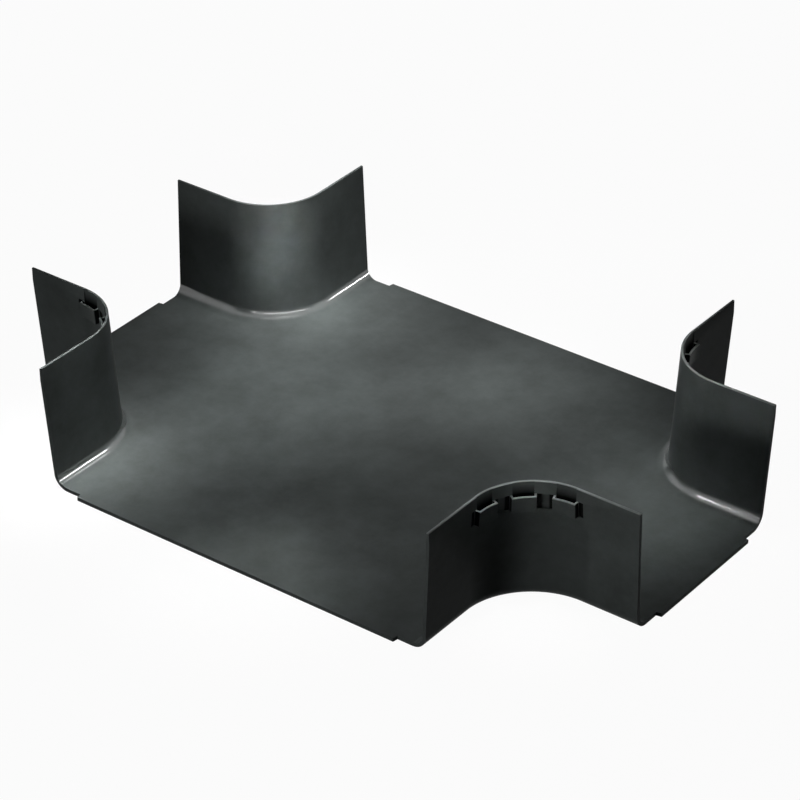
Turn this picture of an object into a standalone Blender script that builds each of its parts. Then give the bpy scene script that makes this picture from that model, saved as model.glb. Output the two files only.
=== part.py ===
# Fiber raceway cross fitting: a shallow moulded tray where a wide channel crosses a narrower one.
# The whole fitting is one injection moulding: floor, four rounded corner walls and their cover clips.
# X runs along the narrow channel, Y along the wide channel, Z up. The underside rests on Z = 0.

import bpy
import bmesh
import math

# Driving sizes, in millimetres and degrees.
HEIGHT = 101.6            # underside to rim
WIDE_CLEAR = 344.0        # inside width of the channel along Y, at the rim
NARROW_CLEAR = 167.0      # inside width of the channel along X, at the rim
LENGTH_X = 548.6          # end to end along the narrow channel, at the rim
LENGTH_Y = 376.0          # end to end along the wide channel, at the rim
WALL = 2.8                # wall thickness
FLOOR = 3.0               # floor thickness
CORNER_R = 50.8           # plan radius of each corner, at the inner edge of the rim
COVE_R = 9.0              # inside radius between floor and wall
DRAFT = 3.6               # the walls lean outwards by this angle, so that the mould opens
END_DRAFT = 1.7           # the cut ends of the walls lean outwards by this angle
RIM_BAND = 10.0           # height of the band below the rim that the cover snaps over
RIM_TAPER = 0.9           # how much thinner the wall is at the rim than below the band
RIM_ROUND = 0.4           # rounding of the rim's two edges

# The tongues: the floor runs on past the wall ends, to lap into the next channel's coupler.
TONGUE = 4.2              # how far the floor runs past the foot of the walls
TONGUE_INSET = 20.8       # side of the tongue to the foot of the wall, at floor level
TONGUE_FLARE = 0.8        # each tongue is this much wider on each side at its root

# The cover clips: open pockets on the outside of each corner.
CLIPS = 3                 # pockets on each corner
CLIP_PITCH = 35.5         # angle from one pocket to the next
CLIP_ARC = 22.0           # angle that one pocket covers
CLIP_HEIGHT = 12.4        # height of a pocket, below the rim band
CLIP_PLATE = 1.6          # thickness of the pocket's front plate and side cheeks
CLIP_GAP = 2.5            # front plate to the face of the wall
RECESS = 1.3              # how deep the wall is let in behind and beside the pockets
RECESS_SIDE = 4.5         # angle that the let-in band reaches past the outer pockets

ARC_STEPS = 16            # segments in a corner's quarter arc
COVE_STEPS = 6            # segments in a cove
ROUND_STEPS = 2           # segments in a rounded rim edge
PASS = 2.0                # how far a cutter runs past the face it opens

MM = 0.001
HALF_X = WIDE_CLEAR / 2
HALF_Y = NARROW_CLEAR / 2
LEAN = math.tan(math.radians(DRAFT))
END_LEAN = math.tan(math.radians(END_DRAFT))
THROUGH = WALL / math.cos(math.radians(DRAFT))


def inner_face(z):
    """Offset of the wall's inner face at height z, counted outwards from the rim's inner edge."""
    return -LEAN * (HEIGHT - z)


def outer_face(z):
    """Offset of the wall's outer face at height z."""
    return inner_face(z) + THROUGH


def end_x(z):
    """Where the walls end along X at height z."""
    return LENGTH_X / 2 - END_LEAN * (HEIGHT - z)


def end_y(z):
    """Where the walls end along Y at height z."""
    return LENGTH_Y / 2 - END_LEAN * (HEIGHT - z)


def arc(cx, cz, radius, start, stop, steps):
    """Points of a circular arc in the wall's cross-section, from angle start to angle stop in degrees."""
    angles = [math.radians(start + (stop - start) * i / steps) for i in range(steps + 1)]
    return [(cx + radius * math.cos(a), cz + radius * math.sin(a)) for a in angles]


MARGIN = inner_face(0.0) - TONGUE_INSET    # offset of the line where the corner sweep meets the floor plate


def wall_section():
    """Cross-section of floor edge, cove and wall as (offset, z) points, from the floor's top to its underside."""
    cos_d = math.cos(math.radians(DRAFT))
    inner_z = FLOOR + COVE_R
    outer_r = COVE_R + WALL
    band = HEIGHT - RIM_BAND
    rim_out = outer_face(HEIGHT) - RIM_TAPER
    points = [(MARGIN, FLOOR)]
    points += arc(inner_face(inner_z) - COVE_R / cos_d, inner_z, COVE_R, -90.0, -DRAFT, COVE_STEPS)
    points += arc(RIM_ROUND, HEIGHT - RIM_ROUND, RIM_ROUND, 180.0, 90.0, ROUND_STEPS)
    points += arc(rim_out - RIM_ROUND, HEIGHT - RIM_ROUND, RIM_ROUND, 90.0, 0.0, ROUND_STEPS)
    points += [(outer_face(band), band)]
    points += arc(outer_face(outer_r) - outer_r / cos_d, outer_r, outer_r, -DRAFT, -90.0, COVE_STEPS)
    points += [(MARGIN, 0.0)]
    return points


def on_corner(angle, offset):
    """Plan position on a corner's arc: 0 degrees is its end at the wide channel, 90 at the narrow one."""
    a = math.radians(angle)
    radius = CORNER_R - offset
    return (HALF_X + CORNER_R - radius * math.cos(a), HALF_Y + CORNER_R - radius * math.sin(a))


def corner_path(offset, z):
    """Plan positions along one corner wall, from the wide channel's end round to the narrow channel's end."""
    path = [(HALF_X + offset, end_y(z))]
    path += [on_corner(90.0 * i / ARC_STEPS, offset) for i in range(ARC_STEPS + 1)]
    path += [(end_x(z), HALF_Y + offset)]
    return path


def build_quarter(bm):
    """One quarter of the tray, open where it meets its mirror images at X = 0 and Y = 0."""
    section = wall_section()
    rows = []
    for offset, z in section:
        rows.append([bm.verts.new((x * MM, y * MM, z * MM)) for x, y in corner_path(offset, z)])
    for low, high in zip(rows, rows[1:]):
        for i in range(len(low) - 1):
            bm.faces.new((low[i], low[i + 1], high[i + 1], high[i]))
    # The two cut ends of the wall.
    bm.faces.new([row[0] for row in rows])
    bm.faces.new([row[-1] for row in reversed(rows)])
    # The floor plate with its tongues, on the top side and on the underside.
    tip_x = end_x(0.0) + TONGUE
    tip_y = end_y(0.0) + TONGUE
    side_x = HALF_X + MARGIN - TONGUE_FLARE
    side_y = HALF_Y + MARGIN - TONGUE_FLARE
    plan = [(side_x, tip_y), (0.0, tip_y), (0.0, 0.0), (tip_x, 0.0), (tip_x, side_y)]
    top = [bm.verts.new((x * MM, y * MM, FLOOR * MM)) for x, y in plan]
    under = [bm.verts.new((x * MM, y * MM, 0.0)) for x, y in plan]
    bm.faces.new(top + rows[0][::-1])
    bm.faces.new(under + rows[-1][::-1])
    # The tongues' edges. The two edges on the mirror planes stay open.
    rim_top = [rows[0][0]] + top + [rows[0][-1]]
    rim_under = [rows[-1][0]] + under + [rows[-1][-1]]
    for i in (0, 1, 4, 5):
        bm.faces.new((rim_top[i], rim_top[i + 1], rim_under[i + 1], rim_under[i]))
    bmesh.ops.recalc_face_normals(bm, faces=bm.faces)


def ring_block(bm, start, stop, off_in, off_out, z_low, z_high, steps):
    """A closed block round a corner: angles, offsets from the wall's inner face and heights bound it."""
    rings = []
    for i in range(steps + 1):
        angle = start + (stop - start) * i / steps
        corners = []
        for offset, z in ((off_in, z_low), (off_out, z_low), (off_out, z_high), (off_in, z_high)):
            x, y = on_corner(angle, inner_face(z) + offset)
            corners.append(bm.verts.new((x * MM, y * MM, z * MM)))
        rings.append(corners)
    for near, far in zip(rings, rings[1:]):
        for j in range(4):
            k = (j + 1) % 4
            bm.faces.new((near[j], near[k], far[k], far[j]))
    bm.faces.new(rings[0])
    bm.faces.new(rings[-1][::-1])


def clip_angles():
    """Start and stop angle of each pocket, spread evenly about the middle of the corner."""
    middles = [45.0 + CLIP_PITCH * (i - (CLIPS - 1) / 2) for i in range(CLIPS)]
    return [(m - CLIP_ARC / 2, m + CLIP_ARC / 2) for m in middles]


CLIP_TOP = HEIGHT - RIM_BAND
CLIP_FOOT = CLIP_TOP - CLIP_HEIGHT
BACK = WALL - RECESS                           # wall left behind the pockets
FRONT = WALL + CLIP_GAP                        # back face of a pocket's front plate
CHEEK = math.degrees(CLIP_PLATE / (CORNER_R - FRONT))


def build_recess(bm):
    """The let-in band that the pockets of a corner stand in."""
    spans = clip_angles()
    start = spans[0][0] - RECESS_SIDE
    stop = spans[-1][1] + RECESS_SIDE
    ring_block(bm, start, stop, BACK, WALL + PASS, CLIP_FOOT, CLIP_TOP, 20)
    bmesh.ops.recalc_face_normals(bm, faces=bm.faces)


def build_pockets(bm):
    """The solid blocks of the pockets, rooted in the wall."""
    root = BACK / 2
    for start, stop in clip_angles():
        ring_block(bm, start, stop, root, FRONT + CLIP_PLATE, CLIP_FOOT, CLIP_TOP, 5)
    bmesh.ops.recalc_face_normals(bm, faces=bm.faces)


def build_mouths(bm):
    """The hollows of the pockets, open at the top and cut up through the rim band."""
    for start, stop in clip_angles():
        ring_block(bm, start + CHEEK, stop - CHEEK, BACK, FRONT, CLIP_FOOT + CLIP_PLATE, HEIGHT + PASS, 5)
    bmesh.ops.recalc_face_normals(bm, faces=bm.faces)


def add_object(name, builder):
    """Turn a bmesh builder into an object that is mirrored into all four corners."""
    mesh = bpy.data.meshes.new(name)
    bm = bmesh.new()
    builder(bm)
    bm.to_mesh(mesh)
    bm.free()
    obj = bpy.data.objects.new(name, mesh)
    bpy.context.scene.collection.objects.link(obj)
    mirror = obj.modifiers.new("corners", "MIRROR")
    mirror.use_axis = (True, True, False)
    mirror.use_clip = False
    mirror.use_mirror_merge = True
    mirror.merge_threshold = 0.00001
    return obj


def add_boolean(target, tool, operation):
    """Cut or join one helper solid into the fitting, and hide the helper."""
    tool.hide_render = True
    tool.display_type = "WIRE"
    boolean = target.modifiers.new(tool.name, "BOOLEAN")
    boolean.operation = operation
    boolean.solver = "EXACT"
    boolean.object = tool


def make_material():
    """Matte charcoal plastic."""
    material = bpy.data.materials.new("charcoal_plastic")
    material.use_nodes = True
    shader = material.node_tree.nodes["Principled BSDF"]
    shader.inputs["Base Color"].default_value = (0.030, 0.032, 0.032, 1.0)
    shader.inputs["Roughness"].default_value = 0.45
    shader.inputs["Metallic"].default_value = 0.0
    material.diffuse_color = (0.030, 0.032, 0.032, 1.0)
    return material


def main():
    for obj in list(bpy.data.objects):
        bpy.data.objects.remove(obj, do_unlink=True)
    fitting = add_object("cross_tray", build_quarter)
    recess = add_object("cut_recess", build_recess)
    pockets = add_object("join_pockets", build_pockets)
    mouths = add_object("cut_mouths", build_mouths)
    add_boolean(fitting, recess, "DIFFERENCE")
    add_boolean(fitting, pockets, "UNION")
    add_boolean(fitting, mouths, "DIFFERENCE")
    fitting.data.materials.append(make_material())
    fitting.data.shade_smooth()
    fitting.data.set_sharp_from_angle(angle=math.radians(30.0))


main()
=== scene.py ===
# %% [markdown]
# # Fiber raceway cross fitting
# This notebook dresses the fitting for its picture: a shallow charcoal tray where a wide
# cable channel crosses a narrower one. The tray is one injection moulding, so it is modelled as
# one skin of even thickness: a flat floor, four rounded corner walls, a soft cove where they
# meet, and small open pockets outside each corner that a cover's hooks drop into.

# %% Load the frame
import math
import bmesh
import bpy
from mathutils import Matrix, Vector


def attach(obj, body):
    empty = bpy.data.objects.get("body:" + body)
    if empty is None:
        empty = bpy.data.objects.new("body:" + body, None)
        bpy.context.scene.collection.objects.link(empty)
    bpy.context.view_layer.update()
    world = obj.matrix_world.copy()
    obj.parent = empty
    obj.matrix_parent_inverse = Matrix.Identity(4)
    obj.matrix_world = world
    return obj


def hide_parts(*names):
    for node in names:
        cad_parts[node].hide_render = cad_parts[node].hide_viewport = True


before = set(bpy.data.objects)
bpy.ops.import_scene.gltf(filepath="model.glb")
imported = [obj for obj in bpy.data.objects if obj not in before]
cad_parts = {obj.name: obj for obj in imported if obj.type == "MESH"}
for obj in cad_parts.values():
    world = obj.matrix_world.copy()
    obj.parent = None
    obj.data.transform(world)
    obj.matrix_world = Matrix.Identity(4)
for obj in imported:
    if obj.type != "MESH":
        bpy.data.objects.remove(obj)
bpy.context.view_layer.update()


# %% [markdown]
# ## The camera
# The photograph looks down into the tray from in front and to the right, from far away through a
# long lens, so the channel's sides stay almost parallel. The place and angle below came from
# fitting a camera to the tray's corners in the photograph.

# %% Place the camera
CAMERA_PLACE = (1.3230, -1.7190, 1.4271)     # metres
CAMERA_TURN = (57.4881, 0.387, 37.1921)      # degrees about X, Y and Z
CAMERA_LENS = 157.58                         # millimetres, on a sensor 36 mm wide


def add_camera():
    """A long-lens camera at the photograph's viewpoint."""
    turn = [math.radians(angle) for angle in CAMERA_TURN]
    bpy.ops.object.camera_add(location=CAMERA_PLACE, rotation=turn)
    camera = bpy.context.object
    camera.name = "photo_camera"
    camera.data.sensor_fit = "HORIZONTAL"
    camera.data.sensor_width = 36.0
    camera.data.lens = CAMERA_LENS
    camera.data.clip_start = 0.05
    camera.data.clip_end = 50.0
    bpy.context.scene.camera = camera
    return camera


camera = add_camera()
print("camera at", [round(v, 3) for v in camera.location], "lens", camera.data.lens, "mm")

# %% [markdown]
# ## Sizes of the moulding
# These are the real sizes, in millimetres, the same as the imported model's. A moulded tray is
# drafted: every wall leans outwards by a few degrees so that it slides off the steel core.
# Every height therefore has its own offset from the rim's inner edge.

# %% Sizes
MM = 0.001
HEIGHT = 101.6
HALF_X = 344.0 / 2        # half the wide channel's clear width, at the rim
HALF_Y = 167.0 / 2        # half the narrow channel's clear width, at the rim
END_X = 548.6 / 2         # where the narrow channel's walls end, at the rim
END_Y = 376.0 / 2         # where the wide channel's walls end, at the rim
WALL = 2.8
FLOOR = 3.0
CORNER_R = 50.8
COVE_R = 9.0
DRAFT = math.radians(3.6)
END_DRAFT = math.radians(1.7)
RIM_BAND = 10.0           # height of the tapered band under the rim
RIM_TAPER = 0.9           # how much thinner the wall is at the rim than below the band
RIM_ROUND = 0.5           # rounding of the rim's two edges
TONGUE = 4.2              # how far the floor runs past the foot of the walls
TONGUE_INSET = 20.8       # side of the tongue to the foot of the wall
TONGUE_FLARE = 0.8        # each tongue is this much wider on each side at its root
BAND_FOOT = HEIGHT - RIM_BAND
CENTRE_X = HALF_X + CORNER_R      # the point that a corner's arc turns about
CENTRE_Y = HALF_Y + CORNER_R


def inner_face(z):
    """Offset of the wall's inner face at height z from the rim's inner edge: negative below the rim."""
    return -math.tan(DRAFT) * (HEIGHT - z)


def outer_face(z):
    """The same for the wall's outer face."""
    return inner_face(z) + WALL / math.cos(DRAFT)


def wall_end(half_length, z):
    """Where a wall's cut end stands at height z."""
    return half_length - math.tan(END_DRAFT) * (HEIGHT - z)


MARGIN = inner_face(0.0) - TONGUE_INSET      # offset of the seam between the corner and the floor plate
print("mm from the middle: foot", round(HALF_X + inner_face(0), 2), "seam", round(HALF_X + MARGIN, 2))

# %% [markdown]
# ## Working in edit mode
# Operators act on whatever is selected, so the steps below first clear the selection, and then
# pick vertices, edges or faces by their place. The helpers take millimetres.

# %% Picking helpers
TOUCH = 0.02              # points closer than this, in millimetres, count as one place


def leave_nothing_selected():
    """Object mode, with nothing selected."""
    if bpy.context.object and bpy.context.object.mode != "OBJECT":
        bpy.ops.object.mode_set(mode="OBJECT")
    bpy.ops.object.select_all(action="DESELECT")


def make_active(piece):
    """Select one piece alone."""
    leave_nothing_selected()
    piece.select_set(True)
    bpy.context.view_layer.objects.active = piece


def pick(piece, kind, test):
    """In edit mode, select the VERT, EDGE or FACE elements that pass the test. Returns how many."""
    bpy.ops.mesh.select_mode(type=kind)
    bpy.ops.mesh.select_all(action="DESELECT")
    mesh = bmesh.from_edit_mesh(piece.data)
    chosen = [e for e in {"VERT": mesh.verts, "EDGE": mesh.edges, "FACE": mesh.faces}[kind] if test(e)]
    for element in chosen:
        element.select_set(True)
    mesh.select_flush_mode()
    bmesh.update_edit_mesh(piece.data)
    return len(chosen)


def near(x=None, y=None, z=None):
    """A test for elements whose every vertex has the given coordinates."""
    wanted = [(i, v) for i, v in enumerate((x, y, z)) if v is not None]

    def test(element):
        corners = [element] if isinstance(element, bmesh.types.BMVert) else element.verts
        return all(abs(c.co[i] / MM - v) < TOUCH for c in corners for i, v in wanted)
    return test


def push(x=0.0, y=0.0, z=0.0):
    """Move what is selected."""
    bpy.ops.transform.translate(value=(x * MM, y * MM, z * MM))


def pull_out(x=0.0, y=0.0, z=0.0):
    """Extrude what is selected."""
    bpy.ops.mesh.extrude_region_move(TRANSFORM_OT_translate={"value": (x * MM, y * MM, z * MM)})


def describe(piece):
    """A mesh's faces, the edges that don't join exactly two of them (0 on a closed skin), and its plastic."""
    mesh = bmesh.new()
    mesh.from_mesh(piece.data)
    loose = sum(1 for e in mesh.edges if len(e.link_faces) != 2)
    volume = mesh.calc_volume(signed=True) / MM ** 3 / 1000
    count = len(mesh.faces)
    mesh.free()
    return f"{count} faces, {loose} open edges, {volume:.2f} cm3"


leave_nothing_selected()
print("helpers ready, nothing selected:", not bpy.context.selected_objects)

# %% [markdown]
# ## One corner wall
# On the real moulding, floor edge, cove, wall and rim are one unbroken skin that sweeps round the
# corner. A Bezier curve with a bevel object could sweep it, but then the leaning cut ends would be
# hard to get. So the cross-section is drawn once as a flat face, spun a quarter turn about the
# corner's centre, and its two ends are extruded straight and sliced off with leaning planes.

# %% Draw the wall's cross-section
COVE_STEPS = 14           # segments in the cove
RIM_STEPS = 4             # segments in each rounded edge of the rim


def round_off(section, x, z, radius, steps):
    """In edit mode: round one corner of the outline."""
    # A vertex bevel is measured along the edges: the radius times the tangent of half the turn.
    half_turn = (math.pi / 2 - DRAFT) / 2
    pick(section, "VERT", near(x=x, z=z))
    bpy.ops.mesh.bevel(offset=radius * math.tan(half_turn) * MM, offset_type="OFFSET", segments=steps,
                       affect="VERTICES")


def draw_section():
    """The cross-section as one flat face, standing where the corner's arc begins."""
    middle = ((HALF_X + MARGIN + FLOOR / 2) * MM, CENTRE_Y * MM, FLOOR / 2 * MM)
    bpy.ops.mesh.primitive_plane_add(size=FLOOR * MM, rotation=(math.pi / 2, 0, 0), location=middle)
    section = bpy.context.object
    section.name = "corner_wall"
    bpy.ops.object.transform_apply(location=True, rotation=True, scale=True)
    bpy.ops.object.mode_set(mode="EDIT")
    start = HALF_X + MARGIN + FLOOR
    foot_in, foot_out = HALF_X + inner_face(FLOOR), HALF_X + outer_face(0.0)
    # The floor, out to the foot of the wall.
    pick(section, "EDGE", near(x=start))
    pull_out(x=foot_in - start)
    pick(section, "VERT", near(x=foot_in, z=0.0))
    push(x=foot_out - foot_in)
    # The wall, up to the band under the rim, and then the tapered band.
    pick(section, "EDGE", lambda e: all(v.co.x / MM > foot_in - TOUCH for v in e.verts))
    pull_out(z=BAND_FOOT - FLOOR)
    pick(section, "VERT", near(x=foot_in, z=BAND_FOOT))
    push(x=HALF_X + inner_face(BAND_FOOT) - foot_in)
    pick(section, "VERT", near(x=foot_out, z=BAND_FOOT - FLOOR))
    push(x=HALF_X + outer_face(BAND_FOOT) - foot_out, z=FLOOR)
    pick(section, "EDGE", near(z=BAND_FOOT))
    pull_out(z=RIM_BAND)
    pick(section, "VERT", near(x=HALF_X + inner_face(BAND_FOOT), z=HEIGHT))
    push(x=-inner_face(BAND_FOOT))
    pick(section, "VERT", near(x=HALF_X + outer_face(BAND_FOOT), z=HEIGHT))
    push(x=outer_face(HEIGHT) - RIM_TAPER - outer_face(BAND_FOOT))
    # The edges inside the outline go, and the two points that they leave on the floor's straight lines.
    pick(section, "EDGE", lambda e: len(e.link_faces) == 2)
    bpy.ops.mesh.dissolve_edges(use_verts=False)
    pick(section, "VERT", near(x=start))
    bpy.ops.mesh.dissolve_verts()
    # Both sides of the cove, then the two edges of the rim.
    round_off(section, foot_in, FLOOR, COVE_R, COVE_STEPS)
    round_off(section, foot_out, 0.0, COVE_R + WALL, COVE_STEPS)
    round_off(section, HALF_X, HEIGHT, RIM_ROUND, RIM_STEPS)
    round_off(section, HALF_X + outer_face(HEIGHT) - RIM_TAPER, HEIGHT, RIM_ROUND, RIM_STEPS)
    bpy.ops.object.mode_set(mode="OBJECT")
    return section


corner_wall = draw_section()
outline = corner_wall.data
print("cross-section:", len(outline.polygons), "face with", len(outline.vertices), "corners")

# %% Spin it round the corner and pull out the straight ends
ARC_STEPS = 48            # segments in a corner's quarter turn
LONGER = 6.0              # how far the straight ends are pulled past their cut
MERGE = 0.001             # points closer than this, in millimetres, are doubles


def slice_off(normal, through):
    """In edit mode: cut off what lies beyond a plane, and close the cut."""
    bpy.ops.mesh.select_all(action="SELECT")
    bpy.ops.mesh.bisect(plane_co=Vector(through) * MM, plane_no=normal, use_fill=True, clear_outer=True)


def tidy_skin():
    """In edit mode: merge doubled points and turn every face outwards."""
    bpy.ops.mesh.select_all(action="SELECT")
    bpy.ops.mesh.remove_doubles(threshold=MERGE * MM)
    bpy.ops.mesh.normals_make_consistent(inside=False)


def sweep_corner(section):
    """Quarter turn, two straight legs, and leaning ends."""
    make_active(section)
    bpy.ops.object.mode_set(mode="EDIT")
    bpy.ops.mesh.select_all(action="SELECT")
    bpy.ops.mesh.spin(steps=ARC_STEPS, angle=-math.pi / 2, center=(CENTRE_X * MM, CENTRE_Y * MM, 0),
                      axis=(0, 0, 1))
    pick(section, "FACE", near(y=CENTRE_Y))
    pull_out(y=END_Y + LONGER - CENTRE_Y)
    pick(section, "FACE", near(x=CENTRE_X))
    pull_out(x=END_X + LONGER - CENTRE_X)
    slice_off((0, 1, -math.tan(END_DRAFT)), (0, END_Y, HEIGHT))
    slice_off((1, 0, -math.tan(END_DRAFT)), (END_X, 0, HEIGHT))
    tidy_skin()
    bpy.ops.object.mode_set(mode="OBJECT")


sweep_corner(corner_wall)
print("corner wall:", describe(corner_wall))

# %% [markdown]
# ## The cover's pockets
# Three open pockets stand on the outside of each corner, just under the rim, and the cover's
# hooks drop into them. The wall is let in behind them, and their mouths run up through the rim.
# Blocks that follow the corner are drawn in the same way as the wall, by spinning a small
# cross-section. One pocket is made, with softened edges that catch the light, and copied.

# %% Blocks that follow the corner
CLIP_PITCH = 35.5         # degrees from one pocket to the next
CLIP_ARC = 22.0           # degrees that a pocket covers
CLIP_HEIGHT = 12.4
CLIP_PLATE = 1.6          # thickness of the front plate and of the cheeks
CLIP_GAP = 2.5            # front plate to the face of the wall
RECESS = 1.3              # how deep the wall is let in behind the pockets
RECESS_SIDE = 4.5         # degrees that the let-in band reaches past the outer pockets
RECESS_STEPS = 52         # segments in the let-in band
PASS = 2.0                # how far a cutting block runs past what it cuts
CLIP_TOP = BAND_FOOT
CLIP_FOOT = CLIP_TOP - CLIP_HEIGHT
BACK = WALL - RECESS      # wall left behind the pockets
FRONT = WALL + CLIP_GAP   # the back of a pocket's front plate
CHEEK = math.degrees(CLIP_PLATE / (CORNER_R - FRONT))
CENTRE = Vector((CENTRE_X, CENTRE_Y, 0)) * MM


def spin_round(degrees, steps, copies=False):
    """In edit mode: sweep what is selected round the corner's centre, clockwise seen from above."""
    bpy.ops.mesh.spin(steps=steps, angle=-math.radians(degrees), center=CENTRE, axis=(0, 0, 1), dupli=copies)


def corner_block(name, start, stop, near_in, near_out, low, high, steps):
    """A block round the corner, between two angles, two offsets from the inner face and two heights."""
    leave_nothing_selected()
    bpy.ops.mesh.primitive_plane_add(size=2 * MM, rotation=(math.pi / 2, 0, 0), location=(0, 0, 0))
    block = bpy.context.object
    block.name = name
    bpy.ops.object.transform_apply(location=True, rotation=True, scale=True)
    bpy.ops.object.mode_set(mode="EDIT")
    # The plane's corners stand 1 mm to each side of its middle. Each goes to its own place in the section.
    for side, offset in ((-1, near_in), (1, near_out)):
        for level, z in ((-1, low), (1, high)):
            pick(block, "VERT", near(x=side, z=level))
            push(x=HALF_X + inner_face(z) + offset - side, y=CENTRE_Y, z=z - level)
    # A copy of the section is turned to the first angle, the section itself goes, and the copy is swept on.
    bpy.ops.mesh.select_all(action="SELECT")
    spin_round(start, 1, copies=True)
    pick(block, "FACE", near(y=CENTRE_Y))
    bpy.ops.mesh.delete(type="FACE")
    bpy.ops.mesh.select_all(action="SELECT")
    spin_round(stop - start, steps)
    tidy_skin()
    bpy.ops.object.mode_set(mode="OBJECT")
    return block


def combine(target, tool, operation):
    """Cut or join one block, and throw the tool away."""
    make_active(target)
    boolean = target.modifiers.new("shape", "BOOLEAN")
    boolean.operation = operation
    boolean.solver = "EXACT"
    boolean.use_self = operation == "UNION"
    boolean.object = tool
    bpy.ops.object.modifier_apply(modifier=boolean.name)
    bpy.data.objects.remove(tool, do_unlink=True)


print("pockets", round(CLIP_FOOT, 1), "to", round(CLIP_TOP, 1), "mm up, cheeks", round(CHEEK, 2), "degrees")

# %% Let the wall in, and cut the mouths through the rim
# The mouths are cut a little shallower than the let-in band, so that no two faces lie in one plane.
MOUTH_STEP = 0.15
MOUTH_STEPS = 10          # segments in a mouth


def clip_spans():
    """Start and stop angle of the three pockets, evenly about the middle of the corner."""
    return [(45 + CLIP_PITCH * i - CLIP_ARC / 2, 45 + CLIP_PITCH * i + CLIP_ARC / 2) for i in (-1, 0, 1)]


spans = clip_spans()
recess = corner_block("recess", spans[0][0] - RECESS_SIDE, spans[-1][1] + RECESS_SIDE,
                      BACK, WALL + PASS, CLIP_FOOT, CLIP_TOP, RECESS_STEPS)
combine(corner_wall, recess, "DIFFERENCE")
for start, stop in spans:
    mouth = corner_block("mouth", start + CHEEK, stop - CHEEK, BACK + MOUTH_STEP, FRONT + PASS,
                         CLIP_TOP - PASS, HEIGHT + PASS, MOUTH_STEPS)
    combine(corner_wall, mouth, "DIFFERENCE")
print("corner wall with its mouths:", describe(corner_wall))

# %% One pocket, softened and copied
CLIP_SOFT = 0.35          # rounding of the pocket's moulded edges
CLIP_STEPS = 8            # segments in a pocket
SHIFT = 0.2               # a pocket hangs this much below the let-in band's top, again to keep faces apart


def make_pocket():
    """A pocket at the middle of the corner: front plate, two cheeks and a floor, open behind and above."""
    start, stop = spans[1]
    pocket = corner_block("pocket", start, stop, BACK / 2, FRONT + CLIP_PLATE,
                          CLIP_FOOT - SHIFT, CLIP_TOP - SHIFT, CLIP_STEPS)
    hollow = corner_block("hollow", start + CHEEK, stop - CHEEK, BACK / 2 - PASS, FRONT,
                          CLIP_FOOT + CLIP_PLATE, HEIGHT + PASS, CLIP_STEPS)
    combine(pocket, hollow, "DIFFERENCE")
    make_active(pocket)
    bpy.ops.object.mode_set(mode="EDIT")
    bpy.ops.mesh.select_all(action="SELECT")
    bpy.ops.mesh.dissolve_limited(angle_limit=math.radians(1))
    bpy.ops.mesh.remove_doubles(threshold=TOUCH * MM)
    bpy.ops.mesh.normals_make_consistent(inside=False)
    bpy.ops.object.mode_set(mode="OBJECT")
    soft = pocket.modifiers.new("soft edges", "BEVEL")
    soft.width = CLIP_SOFT * MM
    soft.segments = 3
    soft.limit_method = "ANGLE"
    soft.angle_limit = math.radians(40)
    bpy.ops.object.modifier_apply(modifier=soft.name)
    return pocket


def copy_round_corner(piece, degrees):
    """A copy with its own mesh, turned about the corner's centre."""
    twin = piece.copy()
    twin.data = piece.data.copy()
    bpy.context.collection.objects.link(twin)
    turn = Matrix.Rotation(-math.radians(degrees), 4, "Z")
    twin.data.transform(Matrix.Translation(CENTRE) @ turn @ Matrix.Translation(-CENTRE))
    return twin


pocket = make_pocket()
print("one pocket:", describe(pocket))
for twin in (copy_round_corner(pocket, CLIP_PITCH), copy_round_corner(pocket, -CLIP_PITCH), pocket):
    combine(corner_wall, twin, "UNION")
print("corner wall with its pockets:", describe(corner_wall))

# %% [markdown]
# ## Four corners and the floor between them
# The fitting is the same in all four corners, so a Mirror modifier makes the other three. The
# floor then closes the gap between them: short lips run on past the wall ends, to lap into the
# next length of channel, and the two open outlines, above and below, are filled.

# %% Mirror the corner
UPRIGHT = 0.1             # an upright face's normal rises or falls by less than this


def on_seam(face):
    """Whether a face stands upright on the seam towards the floor plate."""
    for vert in face.verts:
        x, y = vert.co.x / MM, vert.co.y / MM
        if x < CENTRE_X and y < CENTRE_Y:
            if abs(math.hypot(x - CENTRE_X, y - CENTRE_Y) - (CORNER_R - MARGIN)) > TOUCH:
                return False
        elif min(abs(x - HALF_X - MARGIN), abs(y - HALF_Y - MARGIN)) > TOUCH:
            return False
    return abs(face.normal.z) < UPRIGHT


def mirror_corner(piece):
    """The other three corners, by mirroring in X and Y. Returns how many seam faces were taken out."""
    make_active(piece)
    bpy.ops.object.mode_set(mode="EDIT")
    # The seam faces would stay inside the finished floor.
    seam_faces = pick(piece, "FACE", on_seam)
    bpy.ops.mesh.delete(type="FACE")
    bpy.ops.object.mode_set(mode="OBJECT")
    mirror = piece.modifiers.new("corners", "MIRROR")
    mirror.use_axis = (True, True, False)
    mirror.use_mirror_merge = False
    bpy.ops.object.modifier_apply(modifier=mirror.name)
    return seam_faces


print("seam faces taken out:", mirror_corner(corner_wall))
tray = corner_wall
tray.name = tray.data.name = "moulded_tray"

# %% Fill the floor
LIP_BAND = 6.0            # every edge of a lip lies within this of the wall ends at the rim
BEYOND = 0.5              # a little past the wall ends, but not as far as the lips' tips
LEVEL = 0.5               # an edge whose ends differ by less than this in height is level


def add_lip(piece, two_points, x=0.0, y=0.0):
    """In edit mode: join two points with an edge, and pull it out along X or Y."""
    pick(piece, "VERT", two_points)
    bpy.ops.mesh.edge_face_add()
    pull_out(x=x, y=y)


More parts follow.
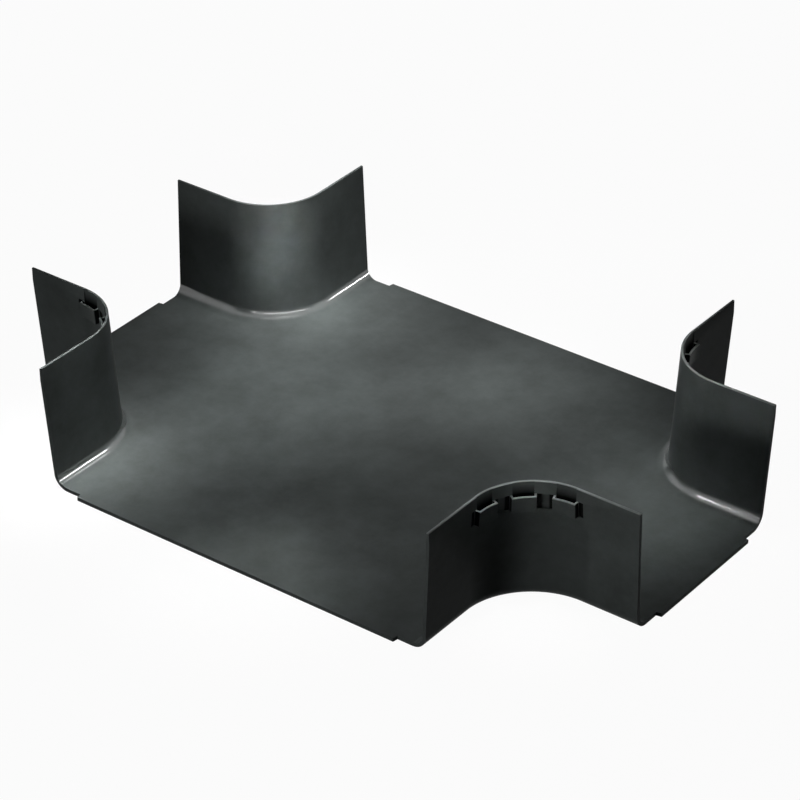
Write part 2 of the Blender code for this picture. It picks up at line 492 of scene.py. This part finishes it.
def outline_lips(piece, z):
    """In edit mode: the outline of the four lips at one level."""
    side_x, side_y = HALF_X + MARGIN, HALF_Y + MARGIN
    root_x, root_y = wall_end(END_X, z), wall_end(END_Y, z)
    tip_x, tip_y = wall_end(END_X, 0) + TONGUE, wall_end(END_Y, 0) + TONGUE
    for sign in (-1, 1):
        add_lip(piece, lambda v: near(x=sign * root_x, z=z)(v) and abs(abs(v.co.y / MM) - side_y) < TOUCH,
                x=sign * (tip_x - root_x))
        for side in (-1, 1):
            pick(piece, "VERT", near(x=sign * tip_x, y=side * side_y, z=z))
            push(y=-side * TONGUE_FLARE)
        add_lip(piece, lambda v: near(y=sign * root_y, z=z)(v) and abs(abs(v.co.x / MM) - side_x) < TOUCH,
                y=sign * (tip_y - root_y))
        for side in (-1, 1):
            pick(piece, "VERT", near(x=side * side_x, y=sign * tip_y, z=z))
            push(x=-side * TONGUE_FLARE)


def build_floor(piece):
    """Lips, upper and lower floor faces, and the thin edges of the lips."""
    make_active(piece)
    bpy.ops.object.mode_set(mode="EDIT")
    for z in (FLOOR, 0.0):
        outline_lips(piece, z)
        limit_x, limit_y = wall_end(END_X, z) + BEYOND, wall_end(END_Y, z) + BEYOND
        pick(piece, "EDGE", lambda e: len(e.link_faces) == 1 and near(z=z)(e) and all(
            abs(v.co.x / MM) < limit_x and abs(v.co.y / MM) < limit_y for v in e.verts))
        bpy.ops.mesh.edge_face_add()
    for axis, limit in ((0, END_X), (1, END_Y)):
        for sign in (-1, 1):
            pick(piece, "EDGE", lambda e: e.is_boundary
                 and abs(e.verts[0].co.z - e.verts[1].co.z) < LEVEL * MM
                 and all(sign * v.co[axis] / MM > limit - LIP_BAND for v in e.verts))
            bpy.ops.mesh.bridge_edge_loops()
    tidy_skin()
    bpy.ops.object.mode_set(mode="OBJECT")


build_floor(tray)
print("tray:", describe(tray))

# %% [markdown]
# ## Shading, and the tray's place in the frame
# Gentle bends should look smooth and flats should stay flat. Smooth shading alone would bend the
# light over the large floor face next to the cove's narrow ones, so the Weighted Normal modifier
# lets the larger face have its way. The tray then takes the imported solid's place, and rides on
# the same body.

# %% Smooth shading that keeps the flat faces flat


def finish_shading(piece):
    """Smooth where the surface bends gently, sharp at edges, and every normal weighted by face area."""
    make_active(piece)
    bpy.ops.object.shade_smooth_by_angle(angle=math.radians(35))
    weighted = piece.modifiers.new("even normals", "WEIGHTED_NORMAL")
    weighted.mode = "FACE_AREA"
    weighted.weight = 50
    weighted.keep_sharp = True
    bpy.ops.object.modifier_apply(modifier=weighted.name)


finish_shading(tray)
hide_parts("cross_tray")
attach(tray, "root")
print("shaded and in place:", tray.name, "with", len(tray.modifiers), "modifiers left")

# %% [markdown]
# ## The plastic
# Raceway fittings are injection moulded from a flame-resistant PC/ABS blend, coloured right
# through with carbon black and a little green-grey. Straight from the mould its skin is dull but
# not matt: it shows the mould's fine spark-eroded grain up close, and from further away a soft
# cloudiness where the melt cooled unevenly. Painted textures could not follow the solid, so every
# pattern is procedural and reads Object coordinates, in metres.

# %% Colour and node helpers


def linear(hex_colour):
    """An sRGB hex colour as linear RGBA."""
    values = [int(hex_colour[i:i + 2], 16) / 255 for i in (1, 3, 5)]
    return tuple(v / 12.92 if v <= 0.04045 else ((v + 0.055) / 1.055) ** 2.4 for v in values) + (1.0,)


def add_node(tree, kind, settings=None, links=None):
    """Add a node. Settings name properties or input sockets, links give an input its source socket."""
    node = tree.nodes.new(kind)
    for key, value in (settings or {}).items():
        if isinstance(key, int) or key in node.inputs:
            node.inputs[key].default_value = value
        else:
            setattr(node, key, value)
    for key, source in (links or {}).items():
        tree.links.new(source, node.inputs[key])
    return node


def new_material(name):
    """An empty node material, its node tree and its output node."""
    material = bpy.data.materials.new(name)
    material.use_nodes = True
    material.node_tree.nodes.clear()
    return material, material.node_tree, add_node(material.node_tree, "ShaderNodeOutputMaterial")


print("middle grey, #808080, as linear:", round(linear("#808080")[0], 4))

# %% [markdown]
# ## Masks: where on the moulding a finish changes
# The moulding is one material, yet its cove, rim and pockets don't look like its flats: the cove has a
# coat, the rim and the pockets' edges get a painted highlight, and the pockets get painted shade. Their
# faces could each be given a material of their own, but then every finish would stop at a hard line. A
# mask is softer: a number from 0 to 1, worked out in nodes from a point's height, from the way its
# face points, or from its place on its corner, that fades one finish into the next.

# %% Masks from limits
OPEN = 9.0                # an upper limit that no value reaches


def merge_masks(tree, how, *masks):
    """Several masks made one: MULTIPLY where all of them hold, MAXIMUM where any does."""
    merged = masks[0]
    for mask in masks[1:]:
        merged = add_node(tree, "ShaderNodeMath", {"operation": how}, {0: merged, 1: mask}).outputs[0]
    return merged


def between(tree, value, low, high, soft):
    """1 where a value lies between two limits, fading to 0 over a soft edge on both sides."""
    rise = add_node(tree, "ShaderNodeMapRange", {"From Min": low - soft, "From Max": low}, {"Value": value})
    fall = add_node(tree, "ShaderNodeMapRange", {"From Min": high + soft, "From Max": high}, {"Value": value})
    return merge_masks(tree, "MULTIPLY", rise.outputs[0], fall.outputs[0])


print("mask helpers ready")

# %% A point's place on its corner
CORNER_SQUARE = (-6 * MM, 100 * MM, 0.5 * MM)    # from 6 mm past the arc's end, inwards


def corner_place(tree, place, height):
    """A point's distance from its corner's centre with the wall's lean taken off, its angle round the
    corner, and a mask for the corner."""
    # Absolute values fold all four corners onto one.
    folded = add_node(tree, "ShaderNodeVectorMath", {"operation": "ABSOLUTE"}, {0: place})
    toward = add_node(tree, "ShaderNodeVectorMath",
                      {"operation": "SUBTRACT", 0: (CENTRE_X * MM, CENTRE_Y * MM, 0)}, {1: folded.outputs[0]})
    flat = add_node(tree, "ShaderNodeVectorMath",
                    {"operation": "MULTIPLY", 1: (1, 1, 0)}, {0: toward.outputs[0]})
    radius = add_node(tree, "ShaderNodeVectorMath", {"operation": "LENGTH"}, {0: flat.outputs[0]})
    lean = add_node(tree, "ShaderNodeMath",
                    {"operation": "MULTIPLY_ADD", 1: math.tan(DRAFT), 2: -math.tan(DRAFT) * HEIGHT * MM},
                    {0: height}).outputs[0]
    depth = add_node(tree, "ShaderNodeMath", {"operation": "ADD"}, {0: radius.outputs["Value"], 1: lean})
    parts = add_node(tree, "ShaderNodeSeparateXYZ", {}, {0: toward.outputs[0]}).outputs
    angle = add_node(tree, "ShaderNodeMath", {"operation": "ARCTAN2"}, {0: parts["Y"], 1: parts["X"]})
    on_corner = merge_masks(tree, "MULTIPLY", between(tree, parts["X"], *CORNER_SQUARE),
                            between(tree, parts["Y"], *CORNER_SQUARE))
    return depth.outputs[0], angle.outputs[0], on_corner


print("the arc's inner face is", CORNER_R, "mm from its centre, its outer face", CORNER_R - WALL, "mm")

# %% [markdown]
# ## Painted highlight on the edges
# The rim and the upper edges of the pockets are painted paler and made smoother: a painted highlight,
# the line of light that a rounded edge catches. A mask draws the same thin line along every edge.
# The painted highlight is uneven: it grows along X and is strongest towards +X.

# %% Where the edges get a painted highlight
# Each band is a lowest value, a highest value and the width of its soft edges.
TOP_FACES = (0.55, OPEN, 0.25)                        # how far up a face points
UPPER_PART = (86 * MM, OPEN, 1 * MM)                  # heights of the pockets' upper half and the rim
RIM_LINE = (101.0 * MM, OPEN, 0.2 * MM)               # heights of the last of the rim's rounding
PLATE_DEPTH = (43.0 * MM, 45.7 * MM, 0.1 * MM)        # distances of a pocket's front plate from the centre
PLATE_TOP = (90.8 * MM, 92.0 * MM, 0.3 * MM)          # heights of its upper edge
HIGHLIGHT_FROM, HIGHLIGHT_TO = -120 * MM, 100 * MM              # along X, no painted highlight and full painted highlight


def painted_highlight_mask(tree, spot, upward, depth, on_corner):
    """1 on the edges that get the painted highlight."""
    height = spot["Z"]
    tops = merge_masks(tree, "MULTIPLY",
                       between(tree, upward, *TOP_FACES), between(tree, height, *UPPER_PART))
    lips = merge_masks(tree, "MULTIPLY",
                       between(tree, depth, *PLATE_DEPTH), between(tree, height, *PLATE_TOP), on_corner)
    edges = merge_masks(tree, "MAXIMUM", tops, between(tree, height, *RIM_LINE), lips)
    highlight = add_node(tree, "ShaderNodeMapRange", {"From Min": HIGHLIGHT_FROM, "From Max": HIGHLIGHT_TO},
                    {"Value": spot["X"]})
    return merge_masks(tree, "MULTIPLY", edges, highlight.outputs[0])


print("wear grows over", round((HIGHLIGHT_TO - HIGHLIGHT_FROM) / MM), "mm along X")

# %% [markdown]
# ## Painted shade in the pockets
# The insides of the pockets and the let-in wall behind them are painted almost black: painted shade,
# where little light gets in. Only the let-in wall between two pockets is as open as the rest, so the
# mask leaves it out.

# %% Where the pockets get painted shade
BACK_DEPTH = (49.0 * MM, 49.6 * MM, 0.1 * MM)         # distances of the let-in wall from the centre
BACK_HEIGHT = ((CLIP_FOOT - 0.5) * MM, (CLIP_TOP - 1) * MM, 9 * MM)
CHEEK_DEPTH = (44.6 * MM, 47.8 * MM, 0.3 * MM)        # distances of the cheeks and the pockets' floors
CHEEK_HEIGHT = ((CLIP_FOOT + 0.5) * MM, (CLIP_TOP - 0.6) * MM, 0.3 * MM)
GAP_HALF, GAP_SOFT = 2.2, 1.5                         # degrees: half a gap between pockets, and its edges


def gap_mask(tree, angle, middle):
    """1 between two pockets, about an angle in degrees."""
    return between(tree, angle, math.radians(middle - GAP_HALF), math.radians(middle + GAP_HALF),
                   math.radians(GAP_SOFT))


def pocket_shade_mask(tree, height, depth, angle, on_corner):
    """1 inside the pockets and on the let-in wall behind them, where the shade is painted."""
    gaps = merge_masks(tree, "MAXIMUM",
                       gap_mask(tree, angle, 45 - CLIP_PITCH / 2), gap_mask(tree, angle, 45 + CLIP_PITCH / 2))
    behind = add_node(tree, "ShaderNodeMath", {"operation": "SUBTRACT", 0: 1.0}, {1: gaps}).outputs[0]
    back = merge_masks(tree, "MULTIPLY",
                       between(tree, depth, *BACK_DEPTH), between(tree, height, *BACK_HEIGHT), behind)
    cheek = merge_masks(tree, "MULTIPLY",
                        between(tree, depth, *CHEEK_DEPTH), between(tree, height, *CHEEK_HEIGHT))
    return merge_masks(tree, "MULTIPLY", on_corner, merge_masks(tree, "MAXIMUM", back, cheek))


print("let-in wall at", round(CORNER_R - BACK, 1), "mm, front plates at", round(CORNER_R - FRONT, 1), "mm")

# %% [markdown]
# ## The finished plastic
# Now the finishes come together on one Principled shader: two tones of charcoal mixed by a cloudy
# noise, the painted highlight on the edges and the painted shade in the pockets over them, and a fine
# grain as bump. The cove is different. Its steel is milled and polished so that the part comes off the
# core, and it leaves a burnished skin that shows the lamps as thin streaks. That skin is the shader's
# coat, and a mask keeps it to a line along the cove.

# %% Moulded PC/ABS, charcoal
DEEP, PALE = "#434746", "#535857"                     # the two tones of the clouds
PAINTED_EDGE_HIGHLIGHT, PAINTED_POCKET_SHADE = "#8e9492", "#101111"                 # painted highlight on the edges, and painted shade in the pockets
# Moulded PC/ABS has a roughness of about 0.4, and 0.15 to 0.2 off polished steel.
ROUGH, ROUGH_SPREAD, POLISHED = 0.4, 0.03, 0.16
# The usual level is 0.5. The grain scatters nearly all of the mirror light, so the flats show next to none.
GLOSS = 0.012
# Plastic has an IOR of 1.5. The cove's streaks are as bright as those of a skin of 1.8, so it has that.
PLASTIC_IOR, BURNISHED_IOR = 1.5, 1.8
COVE_HEIGHT = (5.8 * MM, 10.4 * MM, 1.4 * MM)
COVE_FACES = (0.15, OPEN, 0.1)                        # how far up the cove's faces point
# Clouds about 70 mm across, broken up by finer and finer streaks.
CLOUDS = {"Scale": 14.0, "Detail": 9.0, "Roughness": 0.70}
GRAIN = 0.8               # 0.15 mm in life, and drawn this coarse so that the picture can show it
GRAIN_DEPTH = 0.1


def make_plastic():
    """Charcoal PC/ABS as it leaves the mould, with a painted highlight on its edges and painted shade in its
    pockets.
    """
    material, tree, output = new_material("moulded_pc_abs_charcoal")
    place = add_node(tree, "ShaderNodeTexCoord").outputs["Object"]
    normal = add_node(tree, "ShaderNodeNewGeometry").outputs["Normal"]
    spot = add_node(tree, "ShaderNodeSeparateXYZ", {}, {0: place}).outputs
    upward = add_node(tree, "ShaderNodeSeparateXYZ", {}, {0: normal}).outputs["Z"]
    depth, angle, on_corner = corner_place(tree, place, spot["Z"])
    edge_highlight = painted_highlight_mask(tree, spot, upward, depth, on_corner)
    pocket_shade = pocket_shade_mask(tree, spot["Z"], depth, angle, on_corner)
    cove = merge_masks(tree, "MULTIPLY",
                       between(tree, spot["Z"], *COVE_HEIGHT), between(tree, upward, *COVE_FACES))
    # Colour. A Mix node's colours are inputs 6 and 7 and output 2, its numbers inputs 2 and 3 and output 0.
    clouds = add_node(tree, "ShaderNodeTexNoise", CLOUDS, {"Vector": place}).outputs["Fac"]
    tone = add_node(tree, "ShaderNodeMapRange", {"From Min": 0.35, "From Max": 0.65}, {"Value": clouds})
    body = add_node(tree, "ShaderNodeMix", {"data_type": "RGBA", 6: linear(DEEP), 7: linear(PALE)},
                    {0: tone.outputs[0]})
    # Painted highlight: the edges in the highlight mask are mixed towards a pale grey.
    highlighted = add_node(tree, "ShaderNodeMix", {"data_type": "RGBA", 7: linear(PAINTED_EDGE_HIGHLIGHT)},
                    {0: edge_highlight, 6: body.outputs[2]})
    # Painted shade: the pockets and the let-in wall behind them are mixed towards near black.
    colour = add_node(tree, "ShaderNodeMix", {"data_type": "RGBA", 7: linear(PAINTED_POCKET_SHADE)},
                      {0: pocket_shade, 6: highlighted.outputs[2]})
    # Roughness: the clouds are duller where they are paler, and the cove and the edges with the painted
    # highlight are smooth.
    flats = add_node(tree, "ShaderNodeMapRange",
                     {"From Min": 0.3, "From Max": 0.7,
                      "To Min": ROUGH - ROUGH_SPREAD, "To Max": ROUGH + ROUGH_SPREAD}, {"Value": clouds})
    rough = add_node(tree, "ShaderNodeMix", {"data_type": "FLOAT", 3: POLISHED},
                     {0: merge_masks(tree, "MAXIMUM", cove, edge_highlight), 2: flats.outputs[0]})
    grain = add_node(tree, "ShaderNodeTexNoise", {"Scale": 1 / (GRAIN * MM), "Detail": 2.0},
                     {"Vector": place})
    bump = add_node(tree, "ShaderNodeBump", {"Strength": 0.1, "Distance": GRAIN_DEPTH * MM},
                    {"Height": grain.outputs["Fac"]})
    shader = add_node(tree, "ShaderNodeBsdfPrincipled",
                      {"IOR": PLASTIC_IOR, "Specular IOR Level": GLOSS, "Coat IOR": BURNISHED_IOR,
                       "Coat Roughness": POLISHED},
                      {"Base Color": colour.outputs[2], "Roughness": rough.outputs[0],
                       "Normal": bump.outputs[0], "Coat Weight": cove})
    tree.links.new(shader.outputs[0], output.inputs["Surface"])
    return material


tray.data.materials.clear()
tray.data.materials.append(make_plastic())
print("plastic on", tray.name, "with", len(tray.data.materials[0].node_tree.nodes), "nodes")

# %% [markdown]
# ## Floor and world
# The photograph's background is plain white. Its white comes from the floor and the world as the
# camera, reflections and glass see them, and not from more light on the tray, which keeps its own
# dark tone. The Light Path node tells those rays from the light that bounces on. The floor still
# takes a soft shadow.

# %% Floor and world
FLOOR_COLOUR = "#f0f0f0"
FLOOR_GLOW = 0.96         # the share of the floor's look that is plain white
FLOOR_DROP = 0.2          # millimetres below the tray, so that the two don't lie in one plane
WORLD_FILL = 0.005        # the even light on the tray
WHITE = (1, 1, 1, 1)


def seen_directly(tree):
    """1 for camera, glossy and transmission rays, 0 for light that bounces onward."""
    ray = add_node(tree, "ShaderNodeLightPath").outputs
    return merge_masks(tree, "MAXIMUM",
                       ray["Is Camera Ray"], ray["Is Glossy Ray"], ray["Is Transmission Ray"])


def make_floor():
    """A pale floor that looks white and keeps the shadow."""
    leave_nothing_selected()
    bpy.ops.mesh.primitive_plane_add(size=12, location=(0, 0, -FLOOR_DROP * MM))
    floor = bpy.context.object
    floor.name = "studio_floor"
    material, tree, output = new_material("pale_floor")
    matt = add_node(tree, "ShaderNodeBsdfDiffuse", {"Color": linear(FLOOR_COLOUR)})
    glow = add_node(tree, "ShaderNodeEmission", {"Color": WHITE}, {"Strength": seen_directly(tree)})
    dim = add_node(tree, "ShaderNodeMixShader", {0: FLOOR_GLOW}, {1: matt.outputs[0], 2: glow.outputs[0]})
    tree.links.new(dim.outputs[0], output.inputs["Surface"])
    floor.data.materials.append(material)
    return floor


def make_world():
    """White to look at, and a low even light on the tray."""
    world = bpy.data.worlds.new("studio")
    bpy.context.scene.world = world
    world.use_nodes = True
    tree = world.node_tree
    tree.nodes.clear()
    fill = add_node(tree, "ShaderNodeBackground", {"Color": WHITE, "Strength": WORLD_FILL})
    white = add_node(tree, "ShaderNodeBackground", {"Color": WHITE, "Strength": 1.0})
    mix = add_node(tree, "ShaderNodeMixShader", {},
                   {0: seen_directly(tree), 1: fill.outputs[0], 2: white.outputs[0]})
    add_node(tree, "ShaderNodeOutputWorld", {}, {"Surface": mix.outputs[0]})
    return world


print("stage:", make_floor().name, "and", make_world().name)

# %% [markdown]
# ## Lamps
# In the photograph the tray's floor is lighter than its walls, and thin streaks of light run along
# the coves. Large soft lamps alone would light floor, walls and rims alike. A photographer would
# put a grid over a lamp, a honeycomb that narrows its beam, and the area lamps here have a spread
# that does the same. So four broad lamps set the level, lamps with grids hang over the floor and
# shape its light, and small ones at the sides make the streaks. The camera sees none of them.

# %% Lamp helpers


def add_lamp(name, place, aim, size, level, grid=180):
    """A square soft light aimed at a point, with a grid that narrows its beam to so many degrees.
    With no grid, level 1 shows a surface that faces it there as bright as its colour."""
    bpy.ops.object.light_add(type="AREA", location=place)
    lamp = bpy.context.object
    reach = Vector(place) - Vector(aim)
    lamp.name = name
    lamp.rotation_euler = (-reach).to_track_quat("-Z", "Y").to_euler()
    lamp.data.shape = "SQUARE"
    lamp.data.size = size
    lamp.data.energy = level * math.pi ** 2 * reach.length_squared
    if grid < 180:
        # Blender brightens a narrowed lamp to keep its power. This takes the gain back.
        half = math.radians(grid / 2)
        lamp.data.spread = math.radians(grid)
        lamp.data.energy *= 1 - half / math.tan(half)
    lamp.visible_camera = False
    return lamp


def around(azimuth, elevation, distance):
    """A point given by its bearing from the +X axis, its height angle and its distance."""
    a, e = math.radians(azimuth), math.radians(elevation)
    return (distance * math.cos(a) * math.cos(e),
            distance * math.sin(a) * math.cos(e),
            distance * math.sin(e))


def add_overhead(name, x, y, height, size, level, grid=180):
    """A lamp that hangs over a point of the tray and looks straight down."""
    return add_lamp(name, (x, y, height), (x, y, 0), size, level, grid)


FAR = 1.6                 # metres: the usual distance of a lamp at the side
print("level 1 at", FAR, "m takes", round(math.pi ** 2 * FAR ** 2, 1), "W")

# %% Broad lamps
add_overhead("key_back_left", -0.11, 0.07, 0.22, 0.16, 0.44)
add_overhead("key_front_right", 0.11, -0.035, 0.22, 0.16, 0.18)
add_lamp("low_front", around(270, 12, FAR), (0, 0, 0), 0.2, 0.20)
add_lamp("low_back", around(128, 8, FAR), (0, 0, 0), 0.5, 0.20)
print("broad lamps:", len(bpy.data.lights))

# %% Lamps with grids over the floor
GRID_HEIGHT, GRID_SIZE, GRID_ANGLE = 0.5, 0.08, 24
# Where each hangs, in metres along X and Y, and its level.
OVERHEAD = ((-0.185, -0.16, 3.7), (-0.18, 0.13, 2.3), (-0.11, -0.03, 1.05),
            (0.02, 0.13, 1.1), (0.01, -0.19, 1.2), (-0.05, 0.05, 0.5),
            (-0.17, 0.04, 0.5), (0.20, 0.04, 0.70), (0.14, 0.07, 0.4))
for number, (x, y, level) in enumerate(OVERHEAD, 1):
    add_overhead(f"grid_{number}", x, y, GRID_HEIGHT, GRID_SIZE, level, GRID_ANGLE)
# One more picks out the rim of the front right corner.
add_overhead("rim_front_right", 0.205, -0.115, 0.6, 0.05, 0.7, 13)
print("with the overhead lamps:", len(bpy.data.lights))

# %% Beams from the sides
# Name, what it is aimed at, bearing and height angle it comes from, distance, size, level and grid. A beam
# that is aimed under the floor only catches the cove with its upper edge.
BEAMS = (("arc_high", (-0.1835, 0.0985, 0.088), 314, 22, 1.0, 0.03, 2.00, 3.3),
         ("arc_low", (-0.187, 0.095, 0.046), 314, 22, 1.0, 0.03, 1.20, 3.3),
         ("leg_front_right", (0.262, -0.085, 0.055), 240, 14, FAR, 0.06, 0.18, 6),
         ("streak_back_left", (-0.165, 0.165, -0.060), 45, 15, FAR, 0.09, 0.42, 8),
         ("streak_right", (0.240, 0.080, -0.055), 236, 33, FAR, 0.05, 0.42, 6),
         ("wall_right", (0.235, 0.084, 0.090), 262, 10, FAR, 0.05, 0.20, 5),
         ("line_front_left", (-0.165, -0.165, -0.030), 42, 25, FAR, 0.05, 0.18, 6),
         ("streak_front_left", (-0.165, -0.165, -0.045), 58, 46, FAR, 0.06, 0.13, 5))


def add_beam(name, aim, azimuth, elevation, distance, size, level, grid):
    """A lamp with a grid, placed by where its light comes from."""
    return add_lamp(name, Vector(aim) + Vector(around(azimuth, elevation, distance)), aim, size, level, grid)


for beam in BEAMS:
    add_beam(*beam)
# The back corner's cove turns through a quarter circle, so a row of beams shares its streak.
for azimuth in range(298, 364, 6):
    add_beam(f"streak_arc_{azimuth}", (-0.185, 0.100, -0.024), azimuth, 20, FAR, 0.08, 0.075, 5.5)
print("all lamps:", len(bpy.data.lights))

# %% [markdown]
# ## Picture settings
# The Standard view transform shows colours as they are written.

# %% Picture settings
bpy.context.scene.view_settings.view_transform = "Standard"
